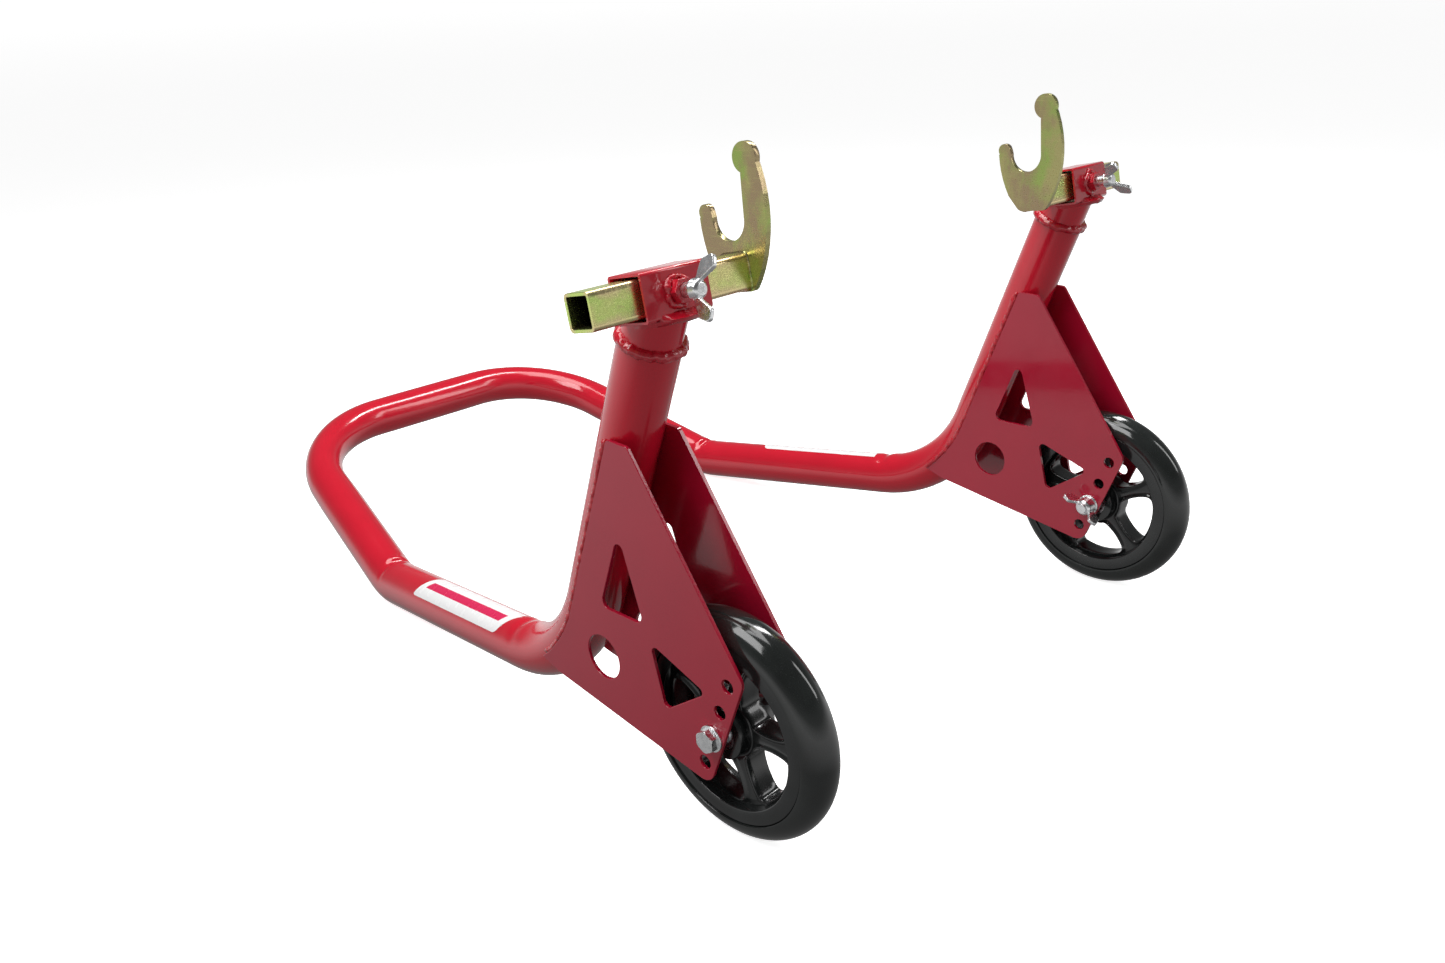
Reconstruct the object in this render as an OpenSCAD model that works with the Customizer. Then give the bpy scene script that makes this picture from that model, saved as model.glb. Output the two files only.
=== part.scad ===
// Rear paddock stand for a motorcycle: a bent tube loop on two small wheels,
// with two sliding hook arms that lift the bike by its swingarm spools.
// +Y runs from the wheels to the handle, left is -X, right is +X, the floor is Z = 0.

/* [Frame tube] */
// Outside diameter of the bent tube
tube_d = 38; // [34:0.5:42]
// Wall of the bent tube
tube_wall = 2; // [1.5:0.5:3]
// Distance of each upright and wheel from the middle
track_half = 222; // [200:1:240]
// Distance of each foot bend's corner behind the axle
foot_y = 151; // [146:1:156]
// Distance of each kink behind the axle
kink_y = 449; // [430:1:470]
// Distance of each rear corner behind the axle
rear_y = 685; // [660:1:720]
// Distance of each kink from the middle
kink_x = 194; // [180:1:205]
// Distance of each rear corner from the middle
rear_x = 153; // [140:1:165]
// Fall of each side tube from its foot bend to its kink
side_fall = 37; // [30:1:42]
// Rise of the handle from the kinks to the rear corners
handle_rise = 70; // [50:1:90]
// Forward lean of the uprights, in degrees
upright_lean = 21.7; // [20:0.1:24]
// Length of an upright above its foot bend's corner
upright_len = 266; // [255:1:275]
// Bend radius at the feet, on the centreline
foot_r = 122; // [110:1:130]
// Bend radius at the kinks, on the centreline
kink_r = 65; // [50:1:90]
// Bend radius at the rear corners, on the centreline
rear_r = 108; // [90:1:115]

/* [Fork plates] */
// Thickness of the four fork plates
plate_t = 2.5; // [2:0.5:3]
// Diameter of the axle holes
axle_hole_d = 9; // [8.6:0.1:10]
// Distance between neighbouring axle holes
axle_pitch = 21.5; // [20:0.5:23]
// Lean of the row of axle holes, in degrees
row_lean = 20.4; // [18:0.1:23]
// Diameter of the round lightening hole
round_hole_d = 30; // [24:1:32]

/* [Clamps and arms] */
// Height of the clamp sleeves' centre above the floor
sleeve_z = 330.5; // [325:0.5:336]
// Outside width of the square sleeves
sleeve_w = 27; // [26:0.5:28]
// Wall of the square sleeves
sleeve_wall = 1.5; // [1:0.5:1.5]
// Length of the square sleeves
sleeve_len = 48; // [44:1:54]
// Rearward tilt of the sleeves, in degrees
sleeve_tilt = 10; // [6:0.5:14]
// Outside width of the square arms
arm_w = 21; // [19:0.5:22]
// Wall of the square arms
arm_wall = 2; // [1.5:0.5:3]
// Distance of the arms' outer ends from the middle
arm_end_x = 278; // [262:1:300]
// Distance between the middle and the hooks' inner faces
hook_x = 157.5; // [150:0.5:160]
// Thickness of the hook plates
hook_t = 4; // [3:0.5:5]
// Radius of the hook seats
seat_r = 12.6; // [11:0.1:13]

/* [Wheels] */
// Diameter of the wheels
wheel_d = 150; // [146:1:154]
// Width of the tyres
tyre_w = 28; // [26:1:30]
// Number of spokes
spoke_count = 5; // [4:1:6]

/* [Hidden] */
$fn = 48;
frame_red = [0.78, 0.12, 0.14];
plate_red = [0.62, 0.18, 0.24];
passivated = [0.72, 0.68, 0.36];
zinc = [0.8, 0.82, 0.84];
steel = [0.62, 0.63, 0.65];
moulded_black = [0.07, 0.08, 0.08];
tyre_black = [0.05, 0.06, 0.06];
label_white = [0.95, 0.95, 0.95];
eps = 0.01;

tube_r = tube_d / 2;
axle_z = wheel_d / 2;

// Vector from the start of a list of points to a fillet's arc points at corner p
function unit(v) = v / norm(v);
function fillet(before, p, after, r, steps) =
  let (
    a = unit(before - p),
    b = unit(after - p),
    half = acos(a * b) / 2,
    centre = p + unit(a + b) * r / sin(half),
    start = p + a * r / tan(half) - centre,
    end = p + b * r / tan(half) - centre,
    sweep = 180 - 2 * half
  )
  [for (i = [0:steps])
    centre + (start * sin(sweep * (1 - i / steps)) + end * sin(sweep * i / steps)) / sin(sweep)];
// Closed outline through corners [y, z, radius], each rounded with its own radius
function rounded(corners, steps = 6) =
  let (n = len(corners))
  [for (i = [0:n - 1])
    let (
      p = [corners[i][0], corners[i][1]],
      q = [corners[(i + n - 1) % n][0], corners[(i + n - 1) % n][1]],
      s = [corners[(i + 1) % n][0], corners[(i + 1) % n][1]]
    )
    each corners[i][2] > 0 ? fillet(q, p, s, corners[i][2], steps) : [p]];

// Centreline of the bent tube. The kinks are its lowest points and rest on the floor.
side_dir = unit([kink_x - track_half, kink_y - foot_y, -side_fall]);
back_dir = unit([rear_x - kink_x, rear_y - kink_y, handle_rise]);
kink_half = acos(-side_dir * back_dir) / 2;
kink_out = unit(back_dir - side_dir);
kink_normal = unit(cross(side_dir, back_dir));
kink_z = tube_r - (kink_out[2] * kink_r / sin(kink_half) - kink_r * sqrt(1 - pow(kink_normal[2], 2)));
foot_z = kink_z + side_fall;
foot = [track_half, foot_y, foot_z];
upright_dir = [0, -sin(upright_lean), cos(upright_lean)];
upright_top = foot + upright_dir * upright_len;
function flip(p) = [-p[0], p[1], p[2]];
right_half = [upright_top, foot, [kink_x, kink_y, kink_z], [rear_x, rear_y, kink_z + handle_rise]];
tube_path = concat(right_half, [for (i = [len(right_half) - 1:-1:0]) flip(right_half[i])]);
tube_radii = [0, foot_r, kink_r, rear_r, rear_r, kink_r, foot_r, 0];

// Half the length of the whole stand: the origin is midway between tyre front and handle
stand_rear = rear_y + tube_r;
axle_y = -(stand_rear - wheel_d / 2) / 2;

module in_frame(x_dir, z_dir, origin) {
  y_dir = cross(z_dir, x_dir);
  multmatrix([
    [x_dir[0], y_dir[0], z_dir[0], origin[0]],
    [x_dir[1], y_dir[1], z_dir[1], origin[1]],
    [x_dir[2], y_dir[2], z_dir[2], origin[2]],
    [0, 0, 0, 1]
  ]) children();
}

// Everything below is drawn for the right side, from the axle's ground point, and placed by these
module right() { translate([0, axle_y, 0]) children(); }
module left() { translate([0, axle_y, 0]) mirror([1, 0, 0]) children(); }
module at_wheel() { translate([track_half, 0, axle_z]) children(); }
// Axle direction: local Z points outwards, away from the middle
module along_axle() { at_wheel() rotate([0, 90, 0]) children(); }

// Data of the bend at corner i of the tube's path
function to_prev(i) = unit(tube_path[i - 1] - tube_path[i]);
function to_next(i) = unit(tube_path[i + 1] - tube_path[i]);
function half_angle(i) = acos(to_prev(i) * to_next(i)) / 2;
function setback(i) = tube_radii[i] / tan(half_angle(i));
function bend_start(i) = tube_path[i] + to_prev(i) * setback(i);
function bend_end(i) = tube_path[i] + to_next(i) * setback(i);
function bend_centre(i) =
  tube_path[i] + unit(to_prev(i) + to_next(i)) * tube_radii[i] / sin(half_angle(i));

// The straight runs are a hair thicker than the bends and reach a little way over them.
// Whatever touches the tube stands clear of it by a fit that is a little more.
run_extra = 0.02;
run_overlap = 1;
fit = 0.05;
module tube_section(extra = 0) {
  difference() {
    circle(tube_r + extra);
    circle(tube_r - tube_wall - extra);
  }
}

// Sweeps a flat section round the bend at corner i
module round_bend(i) {
  x_dir = unit(bend_start(i) - bend_centre(i));
  z_dir = unit(cross(bend_start(i) - bend_centre(i), bend_end(i) - bend_centre(i)));
  in_frame(x_dir, z_dir, bend_centre(i))
    rotate_extrude(angle = 180 - 2 * half_angle(i)) translate([tube_radii[i], 0]) children();
}
module tube_bend(i) { round_bend(i) tube_section(); }
module bend_outside(i, gap) { round_bend(i) circle(tube_r + gap); }

module tube_run(from, to, x_dir, reach_back = run_overlap, reach_on = run_overlap) {
  z_dir = unit(to - from);
  in_frame(x_dir, z_dir, from - z_dir * reach_back)
    linear_extrude(norm(to - from) + reach_back + reach_on) tube_section(run_extra);
}

module frame_tube() {
  last = len(tube_path) - 1;
  color(frame_red) translate([0, axle_y, 0]) {
    tube_run(tube_path[0], bend_start(1), unit(bend_start(1) - bend_centre(1)), 0);
    for (i = [1:last - 1]) {
      tube_bend(i);
    }
    for (i = [1:last - 2]) {
      tube_run(bend_end(i), bend_start(i + 1), unit(bend_end(i) - bend_centre(i)));
    }
    tube_run(bend_end(last - 1), tube_path[last], unit(bend_end(last - 1) - bend_centre(last - 1)), run_overlap, 0);
  }
}

// Plain adhesive label wrapped on the outer side of a side tube
label_len = 154;
label_low = 31;
label_angle = 78;
label_t = 0.2;
label_from_foot = 2;
module side_label() {
  run = unit(bend_start(2) - bend_end(1));
  up = unit([0, 0, 1] - run * run[2]);
  label_inner = tube_r + fit;
  color(label_white)
    in_frame(cross(run, up), run, bend_end(1) + run * label_from_foot)
      rotate([0, 0, -label_low - label_angle])
        rotate_extrude(angle = label_angle) translate([label_inner, 0]) square([label_t, label_len]);
}

// Closed collar that plugs the top of an upright and carries the sleeve
stub_r = tube_r - 1;
stub_wall = 2.5;
spigot_len = 20;
spigot_r = tube_r - tube_wall - fit;
sleeve_centre = [track_half, foot_y - (sleeve_z - foot_z) * tan(upright_lean), sleeve_z];
module below_sleeve() {
  reach = 60;
  translate(sleeve_centre) rotate([-sleeve_tilt, 0, 0])
    translate([-reach, -reach, -2 * reach - sleeve_w / 2]) cube(2 * reach);
}
module top_stub() {
  stub_len = 60;
  color(frame_red) intersection() {
    in_frame([1, 0, 0], upright_dir, upright_top) difference() {
      union() {
        cylinder(h = stub_len, r = stub_r);
        translate([0, 0, -spigot_len]) cylinder(h = spigot_len + eps, r = spigot_r);
      }
      translate([0, 0, -spigot_len - eps]) cylinder(h = spigot_len + 8, r = spigot_r - stub_wall);
    }
    below_sleeve();
  }
}

// Weld bead around the joint of upright and stub
bead_r = 3.2;
module stub_weld() {
  color(frame_red) in_frame([1, 0, 0], upright_dir, upright_top) rotate_extrude() difference() {
    translate([tube_r - 0.8, 0.6]) circle(bead_r);
    translate([0, -2 * bead_r]) square([tube_r + fit, 2 * bead_r]);
    translate([0, -eps]) square([stub_r + fit, 3 * bead_r]);
  }
}

// Fork plate outline, in [distance behind the axle, height]
function on_axis(z) = [foot_y - (z - foot_z) * tan(upright_lean), z];
function row_point(k) = [-k * axle_pitch * sin(row_lean), axle_z + k * axle_pitch * cos(row_lean)];
bend_top = bend_start(1);
arc_mid = bend_centre(1);
// Angle of the last point of the plate's edge that follows the foot bend
arc_first = atan2(bend_top[2] - arc_mid[2], bend_top[1] - arc_mid[1]);
arc_sweep = 31;
plate_top = 244;
plate_corners = concat(
  [[56, plate_top, 4], [74, plate_top + 1, 3]],
  [[bend_top[1], bend_top[2], 0]],
  [for (a = [arc_sweep / 5:arc_sweep / 5:arc_sweep + eps])
    [arc_mid[1] + foot_r * cos(arc_first + a), arc_mid[2] + foot_r * sin(arc_first + a), 0]],
  [[146, 64, 3], [4, 40.2, 10], [-27.5, 120.5, 8]]
);
window_sail = [[71, 187, 4], [94, 131, 5], [54, 131, 5]];
window_slot = [[50, 121, 4], [3, 103.5, 3], [40, 78, 4]];
module fork_plate() {
  rotate([90, 0, 90]) linear_extrude(plate_t) difference() {
    polygon(rounded(plate_corners));
    polygon(rounded(window_sail));
    polygon(rounded(window_slot));
    translate([96, 94]) circle(d = round_hole_d);
    for (k = [-1:2]) {
      translate(row_point(k)) circle(d = axle_hole_d);
    }
  }
}
module fork_plate_outer() { color(plate_red) translate([track_half + tube_r + fit, 0, 0]) fork_plate(); }
// The foot bend leans inwards, so the inner plate is ground away where the bend swells into it
module fork_plate_inner() {
  color(plate_red) difference() {
    translate([track_half - tube_r - fit - plate_t, 0, 0]) fork_plate();
    bend_outside(1, fit);
  }
}

// Clamp frame: X along the sleeve, -Y out of its front face, Z up its front face
module at_sleeve() { translate(sleeve_centre) rotate([-sleeve_tilt, 0, 0]) children(); }
module rounded_square(w, r) {
  union() {
    square([w - 2 * r, w], center = true);
    square([w, w - 2 * r], center = true);
    for (sy = [-1, 1], sz = [-1, 1]) {
      translate([sy * (w / 2 - r), sz * (w / 2 - r)]) circle(r);
    }
  }
}
screw_r = 4;
nut_bore_r = screw_r + 0.05;
module clamp_sleeve() {
  color(frame_red) at_sleeve() difference() {
    translate([-sleeve_len / 2, 0, 0]) rotate([90, 0, 90]) linear_extrude(sleeve_len) difference() {
      rounded_square(sleeve_w, 2);
      rounded_square(sleeve_w - 2 * sleeve_wall, 1);
    }
    rotate([90, 0, 0]) cylinder(h = sleeve_w, r = screw_r + 0.4);
  }
}

// Hexagon from its width across flats
module hexagon(across_flats) { circle(d = across_flats / cos(30), $fn = 6); }
m8_flats = 13;
clamp_nut_h = 6.5;
module clamp_nut() {
  color(frame_red) at_sleeve() rotate([90, 0, 0]) translate([0, 0, sleeve_w / 2]) difference() {
    linear_extrude(clamp_nut_h) hexagon(m8_flats);
    translate([0, 0, -eps]) cylinder(h = clamp_nut_h + 2 * eps, r = nut_bore_r);
  }
}

// Two flared wings on a domed hub, on local Z, shared by the clamp screw and the wing nut
wing_span = 37;
wing_t = 3;
wing_root = 4.2;
module wings() {
  wing_end = wing_span / 2;
  wing_outline = [[wing_root, 1, 0], [wing_end - 3, 5.5, 3], [wing_end, 14.5, 2.5], [11, 15.5, 2.5], [wing_root, 4.8, 0]];
  for (side = [0, 180]) {
    rotate([90, 0, side]) translate([0, 0, -wing_t / 2]) linear_extrude(wing_t)
      polygon(rounded(wing_outline));
  }
}
module wing_head(hub_r, hub_h, dome, bore_r = 0) {
  foot_r = hub_r + 1;
  crown_r = hub_r - 1.5;
  rotate_extrude()
    polygon([[bore_r, 0], [foot_r, 0], [hub_r, hub_h], [crown_r, hub_h + dome], [bore_r, hub_h + dome]]);
  wings();
}
screw_gap = 0.3;
screw_head_out = sleeve_w / 2 + clamp_nut_h + 6.5;
arm_gap = 0.1;
arm_set_back = sleeve_w / 2 - sleeve_wall - arm_w / 2 - arm_gap;
module clamp_screw(turn) {
  tip_out = arm_w / 2 - arm_set_back + screw_gap;
  color(zinc) at_sleeve() rotate([90, turn, 0]) {
    translate([0, 0, tip_out]) cylinder(h = screw_head_out - tip_out + eps, r = screw_r);
    translate([0, 0, screw_head_out]) wing_head(5, 5, 1.2);
  }
}

// The arm lies against the back wall of the sleeve, where the screw presses it
module support_arm() {
  color(passivated) at_sleeve() translate([hook_x + hook_t - track_half, arm_set_back, 0])
    rotate([90, 0, 90]) linear_extrude(arm_end_x - hook_x - hook_t) difference() {
      rounded_square(arm_w, 3);
      rounded_square(arm_w - 2 * arm_wall, 1);
    }
}

// Hook outline, in [distance behind the axle, height]
seat = [47.5, 360];
hook_head = [33.3, 394.8];
hook_head_r = 8.8;
short_tip = [66, 362.3];
short_tip_r = 4.8;
flank_r = 78;
front_flank = [seat[0] - seat_r - 16.9 + flank_r, 361];
rear_flank = [short_tip[0] + short_tip_r - flank_r, 367];
function on_flank(c, sign, z) = [c[0] + sign * sqrt(pow(flank_r, 2) - pow(z - c[1], 2)), z];
hook_low = 327;
module hook_plate() {
  front = [for (z = [397:-7:hook_low]) on_flank(front_flank, -1, z)];
  rear = [for (z = [hook_low + 2:6:362]) on_flank(rear_flank, 1, z)];
  base_front = fillet(front[len(front) - 1], [29.5, 320.4], [44, 318.6], 5, 5);
  base_rear = fillet([44, 318.6], [51, 317.7], rear[0], 7, 5);
  inner = [short_tip + [-short_tip_r, 1], [seat[0] + seat_r, seat[1]], [seat[0] - seat_r, seat[1]]];
  neck = [[seat[0] - seat_r + 1.5, 386], hook_head];
  color(passivated) translate([hook_x, 0, 0]) rotate([90, 0, 90]) linear_extrude(hook_t) difference() {
    union() {
      polygon(concat(front, base_front, base_rear, rear, [short_tip], inner, neck));
      translate(hook_head) circle(hook_head_r);
      translate(short_tip) circle(short_tip_r);
    }
    translate(seat) circle(seat_r);
  }
}

// Wheel, drawn on local Z with its middle at Z = 0
hub_w = 30;
hub_r = 17;
bearing_od = 22;
bearing_id = 8;
bearing_w = 7;
bead_seat_r = 56;
rim_inner_r = 51;
rim_w = 26;
flange_r = 61;
channel_w = 19;
tyre_round_r = 14;
// The tyre's foot fills the channel between the rim's flanges
module tyre() {
  color(tyre_black) along_axle() rotate_extrude() difference() {
    union() {
      translate([wheel_d / 2 - tyre_round_r, 0]) scale([1, tyre_w / 2 / tyre_round_r]) circle(tyre_round_r);
      translate([bead_seat_r, -channel_w / 2]) square([8, channel_w]);
    }
    translate([0, -tyre_w]) square([bead_seat_r, 2 * tyre_w]);
    translate([0, channel_w / 2]) square([flange_r, tyre_w]);
    translate([0, -tyre_w - channel_w / 2]) square([flange_r, tyre_w]);
  }
}
web_w = 14;
// Half section of the rim, in [distance from the axle, place along it]
rim_section = [
  [hub_r - 6, -hub_w / 2], [hub_r, -hub_w / 2], [hub_r + 2, -web_w / 2], [rim_inner_r - 2, -web_w / 2],
  [rim_inner_r, -rim_w / 2], [flange_r, -rim_w / 2], [flange_r, -channel_w / 2], [bead_seat_r, -channel_w / 2],
  [bead_seat_r, channel_w / 2], [flange_r, channel_w / 2], [flange_r, rim_w / 2], [rim_inner_r, rim_w / 2],
  [rim_inner_r - 2, web_w / 2], [hub_r + 2, web_w / 2], [hub_r, hub_w / 2], [hub_r - 6, hub_w / 2]
];
window_in = hub_r + 5;
window_out = rim_inner_r - 4;
window_half = 150 / spoke_count;
module spoke_window() {
  polygon(rounded([
    [window_in * cos(12), -window_in * sin(12), 3],
    [window_out * cos(window_half - 5), -window_out * sin(window_half - 5), 6],
    [window_out * 1.05, 0, 30],
    [window_out * cos(window_half - 5), window_out * sin(window_half - 5), 6],
    [window_in * cos(12), window_in * sin(12), 3]
  ]));
}
module rim(turn) {
  color(moulded_black) along_axle() difference() {
    rotate_extrude() polygon(rim_section);
    for (i = [0:spoke_count - 1]) {
      rotate([0, 0, turn + i * 360 / spoke_count]) translate([0, 0, -rim_w]) linear_extrude(2 * rim_w) spoke_window();
    }
    ring_pair() cylinder(h = bearing_w, d = bearing_od, center = true);
  }
}

// Ball bearings: rings with grooves, balls and shields, one bearing in each hub face
bearing_at = hub_w / 2 - bearing_w / 2;
ball_r = 1.98;
ball_pitch_r = (bearing_od + bearing_id) / 4;
ball_count = 7;
inner_ring_r = 6;
outer_ring_r = 9.2;
groove_play = 0.06;
module ring_pair() {
  for (side = [-1, 1]) {
    translate([0, 0, side * bearing_at]) children();
  }
}
module groove() { translate([ball_pitch_r, 0]) circle(ball_r + groove_play); }
module bearing_outer_rings() {
  color(steel) along_axle() ring_pair() rotate_extrude() difference() {
    translate([outer_ring_r, -bearing_w / 2]) square([bearing_od / 2 - outer_ring_r, bearing_w]);
    groove();
  }
}
module bearing_inner_rings() {
  color(steel) along_axle() ring_pair() rotate_extrude() difference() {
    translate([bearing_id / 2, -bearing_w / 2]) square([inner_ring_r - bearing_id / 2, bearing_w]);
    groove();
  }
}
module bearing_balls() {
  color(steel) along_axle() ring_pair() for (i = [0:ball_count - 1]) {
    rotate([0, 0, i * 360 / ball_count]) translate([ball_pitch_r, 0, 0]) sphere(ball_r);
  }
}
module bearing_shields() {
  shield_t = 0.4;
  shield_gap = 0.3;
  color(zinc) along_axle() ring_pair() for (side = [-1, 1]) {
    translate([0, 0, side * (bearing_w / 2 - shield_t)]) rotate_extrude()
      translate([inner_ring_r + shield_gap, -shield_t / 2])
        square([outer_ring_r - inner_ring_r - shield_gap, shield_t]);
  }
}

// Axle: bolt head on the outer plate, wing nut on the inner plate
washer_t = 1.6;
washer_od = 17;
plate_face = tube_r + fit + plate_t;
head_h = 5.3;
axle_r = 4;
washer_bore_r = axle_r + 0.05;
module axle_bolt() {
  shank_end = -plate_face - washer_t - 11;
  color(zinc) along_axle() {
    translate([0, 0, plate_face + washer_t]) intersection() {
      linear_extrude(head_h) hexagon(m8_flats);
      cylinder(h = head_h, r1 = m8_flats / 2 + 2.6, r2 = m8_flats / 2 + 0.4);
    }
    translate([0, 0, shank_end]) cylinder(h = plate_face + washer_t - shank_end, r = axle_r - eps);
  }
}
module ring(outer, inner, from, to) {
  translate([0, 0, from]) linear_extrude(to - from) difference() {
    circle(outer);
    circle(inner);
  }
}
module axle_washers() {
  color(zinc) along_axle() {
    ring(washer_od / 2, washer_bore_r, plate_face, plate_face + washer_t);
    ring(washer_od / 2, washer_bore_r, -plate_face - washer_t, -plate_face);
  }
}
module side_spacers() {
  color(zinc) along_axle() {
    ring(7, washer_bore_r, hub_w / 2, tube_r + fit);
    ring(7, washer_bore_r, -tube_r - fit, -hub_w / 2);
  }
}
module hub_spacer() {
  reach = hub_w / 2 - bearing_w;
  color(zinc) along_axle() ring(6, washer_bore_r, -reach, reach);
}
module axle_wing_nut(turn) {
  nut_gap = 0.1;
  color(zinc) along_axle() rotate([180, 0, turn]) translate([0, 0, plate_face + washer_t + nut_gap])
    wing_head(6.5, 8, 1.5, axle_r + 0.05);
}

// How far each wing head and wheel is turned at rest
screw_turn_left = 72;
screw_turn_right = 45;
nut_turn_left = 60;
nut_turn_right = 123;
wheel_turn_left = 14;
wheel_turn_right = -6.5;
frame_tube();
left() side_label();  // side_label_left
right() side_label();  // side_label_right
left() top_stub();  // top_stub_left
right() top_stub();  // top_stub_right
left() stub_weld();  // stub_weld_left
right() stub_weld();  // stub_weld_right
left() fork_plate_outer();  // fork_plate_outer_left
right() fork_plate_outer();  // fork_plate_outer_right
left() fork_plate_inner();  // fork_plate_inner_left
right() fork_plate_inner();  // fork_plate_inner_right
left() clamp_sleeve();  // clamp_sleeve_left
right() clamp_sleeve();  // clamp_sleeve_right
left() clamp_nut();  // clamp_nut_left
right() clamp_nut();  // clamp_nut_right
left() clamp_screw(screw_turn_left);  // clamp_screw_left
right() clamp_screw(screw_turn_right);  // clamp_screw_right
left() support_arm();  // support_arm_left
right() support_arm();  // support_arm_right
left() hook_plate();  // hook_plate_left
right() hook_plate();  // hook_plate_right
left() axle_bolt();  // axle_bolt_left
right() axle_bolt();  // axle_bolt_right
left() axle_washers();  // axle_washers_left
right() axle_washers();  // axle_washers_right
left() side_spacers();  // side_spacers_left
right() side_spacers();  // side_spacers_right
left() hub_spacer();  // hub_spacer_left
right() hub_spacer();  // hub_spacer_right
left() axle_wing_nut(nut_turn_left);  // axle_wing_nut_left
right() axle_wing_nut(nut_turn_right);  // axle_wing_nut_right
left() tyre();  // tyre_left
right() tyre();  // tyre_right
left() rim(wheel_turn_left);  // rim_left
right() rim(wheel_turn_right);  // rim_right
left() bearing_outer_rings();  // bearing_outer_rings_left
right() bearing_outer_rings();  // bearing_outer_rings_right
left() bearing_inner_rings();  // bearing_inner_rings_left
right() bearing_inner_rings();  // bearing_inner_rings_right
left() bearing_balls();  // bearing_balls_left
right() bearing_balls();  // bearing_balls_right
left() bearing_shields();  // bearing_shields_left
right() bearing_shields();  // bearing_shields_right
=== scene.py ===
import math

import bmesh
import bpy
import numpy as np
from bpy.props import FloatProperty, FloatVectorProperty, IntProperty, PointerProperty
from mathutils import Matrix, Vector, noise


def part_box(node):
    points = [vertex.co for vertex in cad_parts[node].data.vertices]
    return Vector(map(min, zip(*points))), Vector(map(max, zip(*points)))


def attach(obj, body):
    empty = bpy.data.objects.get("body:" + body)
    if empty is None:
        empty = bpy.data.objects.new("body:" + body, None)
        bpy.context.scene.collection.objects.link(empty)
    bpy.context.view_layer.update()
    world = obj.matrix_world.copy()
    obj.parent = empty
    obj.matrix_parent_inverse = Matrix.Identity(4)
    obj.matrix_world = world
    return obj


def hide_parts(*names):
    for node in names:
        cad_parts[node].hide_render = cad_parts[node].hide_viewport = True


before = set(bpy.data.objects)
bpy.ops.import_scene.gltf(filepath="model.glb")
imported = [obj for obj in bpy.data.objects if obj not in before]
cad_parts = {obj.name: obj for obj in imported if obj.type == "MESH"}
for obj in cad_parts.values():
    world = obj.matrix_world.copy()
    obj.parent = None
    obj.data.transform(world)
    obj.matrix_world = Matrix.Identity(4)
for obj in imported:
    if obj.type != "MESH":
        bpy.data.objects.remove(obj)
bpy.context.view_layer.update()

bl_info = {
    "name": "Paddock Stand Builder",
    "version": (1, 0, 0),
    "blender": (4, 5, 0),
    "location": "3D View > Sidebar > Stand",
    "description": "Builds the welds, wheels, labels and finishes of a paddock stand around its frame",
    "category": "Add Mesh",
}

# Places on the stand, in metres. The floor is z = 0 and +Y runs from the wheels to the handle.
SIDES = {"left": -1.0, "right": 1.0}
TYRE_LOW, TYRE_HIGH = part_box("tyre_right")
WHEEL_CENTRE = (TYRE_LOW + TYRE_HIGH) / 2
TYRE_RADIUS = (TYRE_HIGH.z - TYRE_LOW.z) / 2
UPRIGHT_LEAN = math.radians(21.7)
UPRIGHT_DIR = Vector((0, -math.sin(UPRIGHT_LEAN), math.cos(UPRIGHT_LEAN)))
FOOT_CORNER = Vector((0.222, -0.1635, 0.0548224))
KINK_CORNER = Vector((0.194, 0.1345, 0.0178224))
REAR_CORNER = Vector((0.153, 0.3705, 0.0878224))
UPRIGHT_LENGTH = 0.266
UPRIGHT_TOP = FOOT_CORNER + UPRIGHT_DIR * UPRIGHT_LENGTH
FOOT_BEND, KINK_BEND, REAR_BEND = 0.122, 0.065, 0.108
SLEEVE_TILT = math.radians(10)
SLEEVE_CENTRE = Vector((0.222, -0.273205, 0.3305))
SLEEVE_HALF = 0.0135
ARM_HALF = 0.0105
ARM_CORNER = 0.003
ARM_SET_BACK = 0.0014
SLEEVE_REACH = 0.0238
STUB_RADIUS = 0.018
RING_WELD_LINE = 0.0183
NUT_WELD_LINE, NUT_WELD_BEAD = 0.0079, 0.0018
HOOK_WELD_BEAD = 0.0011
PLATE_WELD_TOP, PLATE_WELD_SWEEP = 0.2435, math.radians(31)
FLOOR_GAP = 0.00006
SHARP = math.radians(38)
WHEEL_TURN = {"left": 14.0, "right": -6.5}


class StandSizes(bpy.types.PropertyGroup):
    tube_radius: FloatProperty(
        name="Tube radius", description="Outside radius of the bent tube",
        default=0.019, min=0.015, max=0.022, unit="LENGTH")
    tube_wall: FloatProperty(
        name="Tube wall", description="Wall thickness of the bent tube",
        default=0.002, min=0.001, max=0.004, unit="LENGTH")
    crease_depth: FloatProperty(
        name="Crease depth", description="How far the tube folds in on the inside of each kink",
        default=0.0026, min=0.0, max=0.004, unit="LENGTH")
    corner_flattening: FloatProperty(
        name="Corner flattening", description="Share of its width that the tube loses in the rear corners",
        default=0.10, min=0.0, max=0.2, subtype="FACTOR")
    ring_bead: FloatProperty(
        name="Ring weld radius", description="Thickness of the weld around each upright's top",
        default=0.0031, min=0.002, max=0.0035, unit="LENGTH")
    stitch_bead: FloatProperty(
        name="Plate weld radius", description="Thickness of the welds along the fork plates",
        default=0.0019, min=0.001, max=0.0025, unit="LENGTH")
    plate_edge: FloatProperty(
        name="Plate edge rounding", description="Rounding of the fork plates' cut edges",
        default=0.00045, min=0.0001, max=0.001, unit="LENGTH")
    hook_edge: FloatProperty(
        name="Hook edge rounding", description="Rounding of the hook plates' cut edges",
        default=0.0007, min=0.0001, max=0.0015, unit="LENGTH")
    spoke_bulge: FloatProperty(
        name="Window bulge", description="How far the long sides of the rim's windows bow outwards",
        default=0.0022, min=0.0, max=0.004, unit="LENGTH")
    wheel_steps: IntProperty(
        name="Wheel smoothness", description="Number of segments around a tyre",
        default=160, min=48, max=256)


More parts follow.
